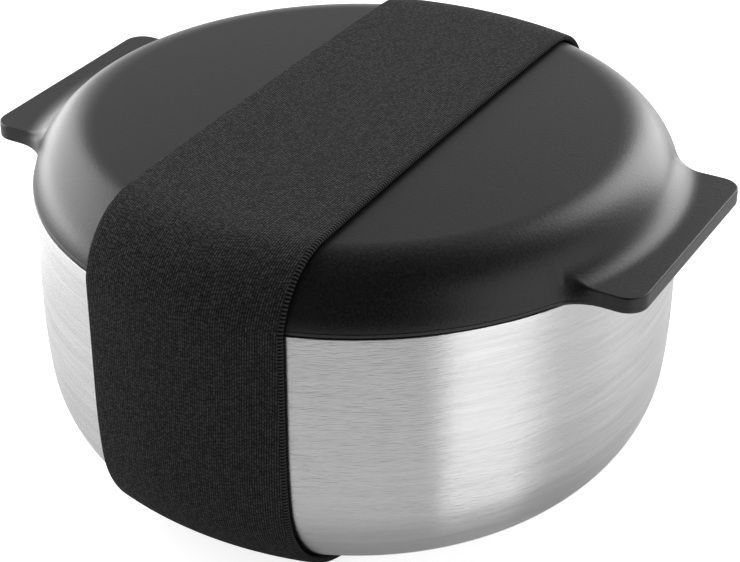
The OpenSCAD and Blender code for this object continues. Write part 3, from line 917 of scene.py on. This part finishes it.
felt, tree, shader = new_finish("black_felt")
shader.inputs["Base Color"].default_value = (FELT, FELT, FELT, 1)
shader.inputs["Roughness"].default_value = 1
hood_sides, hood_heights = np.linspace(*HOOD_SIDES, HOOD_STEPS), np.linspace(0, HOOD_TOP, HOOD_STEPS)
hood = surface("hood", studio_place(hood_sides[None], hood_heights[:, None], HOOD_R), close_columns=False)
hood.data.materials.append(felt)
hood.visible_camera = False


# Card on the paper in front of the steel: a ruled surface whose lines leave the foot of the wall in the
# direction that the wall mirrors, so that a brightness laid out by angle shows at that angle on the wall.
CARD_SIDES = (-18, 72)
CARD_NEAR = (0.018, 0.09)
CARD_FAR = (0.35, 1.15)
CARD_Z = 0.0006
CARD_STEP = 14.5
CARD_STEP_HALF = 0.3
CARD_FALL = (30.0, 36.5)
CARD_GREY = 0.62
CARD_WHITE = 1.03
CARD_RIGHT = 0.79
CARD_MAP = 0.01

card_a = np.linspace(*CARD_SIDES, 120)[None]
card_far = np.where(card_a < CARD_STEP, *CARD_FAR)
card_near = np.interp(card_a, CARD_FALL, CARD_NEAR)
card_away = card_near + (card_far - card_near) * np.linspace(0, 1, 8)[:, None]
card_grid = studio_place(card_a, 0, BOWL_R) + card_away[..., None] * studio_place(2 * card_a, 0, 1.0)
card_grid[..., 2] = CARD_Z
card_map = np.stack(np.broadcast_arrays(card_a * CARD_MAP, card_away), -1)
card = surface("card", card_grid, close_columns=False, uv=card_map)
shade, tree, shader = new_finish("card_white")
lie = wire(tree, "ShaderNodeSeparateXYZ", {0: wire(tree, "ShaderNodeUVMap", uv_map="lie").outputs[0]})
white = wire(tree, "ShaderNodeMapRange", {
    "Value": lie.outputs[0], "To Min": CARD_GREY, "To Max": CARD_WHITE,
    "From Min": (CARD_STEP - CARD_STEP_HALF) * CARD_MAP, "From Max": (CARD_STEP + CARD_STEP_HALF) * CARD_MAP})
fall = wire(tree, "ShaderNodeMapRange", {
    "Value": lie.outputs[0], "From Min": CARD_FALL[0] * CARD_MAP, "From Max": CARD_FALL[1] * CARD_MAP,
    "To Min": 1.0, "To Max": CARD_RIGHT / CARD_WHITE}, interpolation_type="SMOOTHSTEP")
strength = wire(tree, "ShaderNodeMath", {0: white.outputs[0], 1: fall.outputs[0]}, operation="MULTIPLY")
put_on(tree, shader, wire(tree, "ShaderNodeEmission", {"Color": WHITE, "Strength": strength.outputs[0]}))
card.data.materials.append(shade)
card.visible_camera = False


# Soft boxes: white cloth in frames. Upright ones stand round the bowl. Flat ones lie on the paper and light
# the lid's shoulders and the steel down to their edges. Two hang overhead, one for the floor alone.


def area_box(name, place, aim, width, height, level):
    """Soft box at a place that faces an aim. Its power is the level times pi times its area, so that a
    mirror shows it at that level."""
    light = bpy.data.lights.new(name, "AREA")
    light.shape = "RECTANGLE"
    light.size, light.size_y = width, height
    light.energy = level * math.pi * width * height
    made = bpy.data.objects.new(name, light)
    made.location = place
    made.rotation_euler = (Vector(aim) - made.location).to_track_quat("-Z", "Y").to_euler()
    scene.collection.objects.link(made)
    return made


def soft_box(name, aside, away, low, high, width, level):
    """Upright soft box at an angle to the right of the camera, from low to high above the floor, that faces
    the bowl."""
    middle = Vector((0, 0, (low + high) / 2))
    return area_box(name, Vector(studio_place(aside, 0, away)) + middle, middle, width, high - low, level)


def flat_box(name, aside, near, far, width, level):
    """Soft box that lies on the paper and faces up, at an angle to the right of the camera, from near to
    far."""
    place = Vector(studio_place(aside, 0, (near + far) / 2)) + Vector((0, 0, CARD_Z))
    made = area_box(name, place, place + Vector((0, 0, 1)), width, far - near, level)
    made.rotation_euler = (math.pi, 0, math.radians(aside + CAMERA_AZIMUTH))
    return made


def tied(name, state, pieces, boxes):
    """Ties soft boxes to pieces: INCLUDE lights those pieces alone, and EXCLUDE lights all but those."""
    kept = bpy.data.collections.new(name)
    for piece in pieces:
        kept.objects.link(piece)
    for entry in kept.collection_objects:
        entry.light_linking.link_state = state
    for box in boxes:
        box.light_linking.receiver_collection = kept


tied("lit_without", "EXCLUDE", [shell, inner, cap, floor], [
    soft_box("left_box", aside=-125, away=1.1, low=0.0, high=1.10, width=1.27, level=3.0),
    soft_box("left_low_box", aside=-125, away=1.05, low=0.0, high=0.08, width=1.20, level=4.0),
    soft_box("back_box", aside=138, away=1.2, low=0.02, high=1.33, width=0.60, level=4.6),
    soft_box("side_box", aside=64, away=1.2, low=0.0, high=1.30, width=1.22, level=0.55),
    soft_box("rear_box", aside=172, away=1.2, low=0.0, high=0.12, width=0.80, level=1.2),
    flat_box("left_flat_box", aside=-120, near=0.40, far=1.05, width=1.10, level=3.0),
    flat_box("rear_flat_box", aside=146, near=0.25, far=1.05, width=0.60, level=0.7)])
tied("steel_alone", "INCLUDE", [shell, inner, cap], [
    soft_box("steel_left_box", aside=-118, away=1.1, low=0.01, high=0.85, width=1.60, level=0.9),
    soft_box("steel_back_box", aside=145, away=1.2, low=0.03, high=0.66, width=0.55, level=1.2),
    soft_box("steel_right_box", aside=108, away=1.2, low=0.0, high=0.80, width=1.05, level=1.4),
    soft_box("steel_strip_box", aside=43, away=1.2, low=0.0, high=0.80, width=0.64, level=1.2),
    flat_box("steel_flat_box", aside=-140, near=0.13, far=0.95, width=1.20, level=0.45)])
tied("floor_alone", "INCLUDE", [floor], [
    area_box("floor_box", studio_place(-75, 55, 1.6), aim=(0, 0, 0), width=2.4, height=2.4, level=0.8)])
top_box = area_box("top_box", studio_place(180, 65, 1.5), aim=(0, 0, 0), width=1.2, height=1.2, level=2.122)
top_box.visible_glossy = False


# Camera: a long lens that looks down on the bowl from the front, to the right of the band.
# Its place and aim are set from the seam between bowl and lid, on the axis.
SEAM_Z = 0.0739
CAMERA_HEIGHT = 27.773
CAMERA_AWAY = 0.478091
AIM_ASIDE = 0.002936
AIM_DROP = 0.031774
SENSOR_MM = 36
LENS_MM = 98.0

camera_data = bpy.data.cameras.new("camera")
camera_data.sensor_width = SENSOR_MM
camera_data.lens = LENS_MM
camera = bpy.data.objects.new("camera", camera_data)
scene.collection.objects.link(camera)
camera.location = Vector((0, 0, SEAM_Z)) + Vector(studio_place(0, CAMERA_HEIGHT, CAMERA_AWAY))
aim = Vector(studio_place(90, 0, AIM_ASIDE)) + Vector((0, 0, SEAM_Z - AIM_DROP))
camera.rotation_euler = (aim - camera.location).to_track_quat("-Z", "Y").to_euler()
scene.camera = camera
